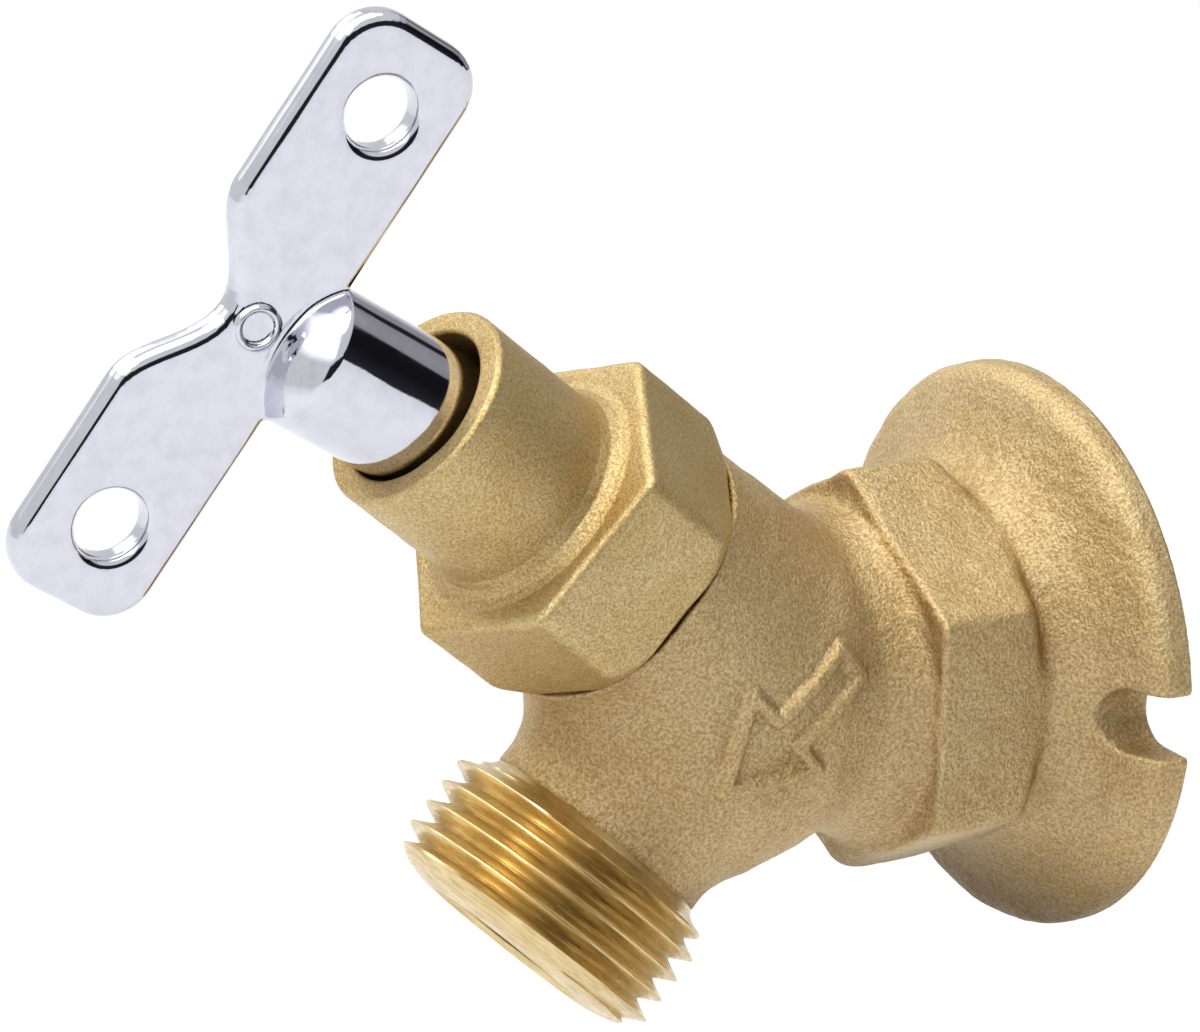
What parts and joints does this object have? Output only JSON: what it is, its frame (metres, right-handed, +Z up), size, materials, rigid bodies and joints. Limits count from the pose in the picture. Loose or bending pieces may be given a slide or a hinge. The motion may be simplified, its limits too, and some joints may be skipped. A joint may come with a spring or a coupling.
{
  "type": "hose bib",
  "caption": "Angled brass hose bib with a round wall flange, lock-shield bonnet nut, threaded hose outlet and a loose T-shaped key.",
  "frame": {"origin": "centre of the wall flange's back face, on the inlet's axis", "axes": "+Y along the inlet's axis into the wall, -Y out from the wall, +Z up, +X to the right of someone who faces the wall"},
  "size_m": [0.0514, 0.0994, 0.0937],
  "materials": {
    "cast_brass": "sand-cast, matt with fine grain",
    "nut_brass": "cast, fine grain, machined rim",
    "turned_brass": "turned",
    "rubber": "matt",
    "fibre": "pressed vulcanised fibre",
    "packing": "graphited yarn",
    "chrome": "bright chrome plate on a casting"
  },
  "bodies": {
    "valve": {"valve_body": "cast_brass", "bonnet_nut": "nut_brass", "bonnet_gasket": "fibre", "packing_washer": "turned_brass", "packing_ring_lower": "packing", "packing_ring_upper": "packing", "packing_gland": "turned_brass"},
    "disc": {"seat_washer": "rubber"},
    "stem": {"stem": "turned_brass", "washer_screw": "turned_brass"},
    "key": {"loose_key": "chrome"}
  },
  "joints": [
    {"name": "stem_rise", "type": "slide", "parent": "valve", "child": "disc", "axis": [0, -0.7629, 0.6465], "range_m": [0, 0.00689]},
    {"name": "stem_turn", "type": "hinge", "parent": "disc", "child": "stem", "pos_m": [0, -0.02745, 0], "axis": [0, -0.7629, 0.6465], "range_deg": [0, 1170]},
    {"name": "key_lift", "type": "slide", "parent": "stem", "child": "key", "axis": [0, -0.8397, 0.543], "range_m": [0, 0.025]}
  ],
  "couplings": [
    {"joint": "stem_rise", "follows": "stem_turn", "m_per_rad": 0.00033693}
  ]
}
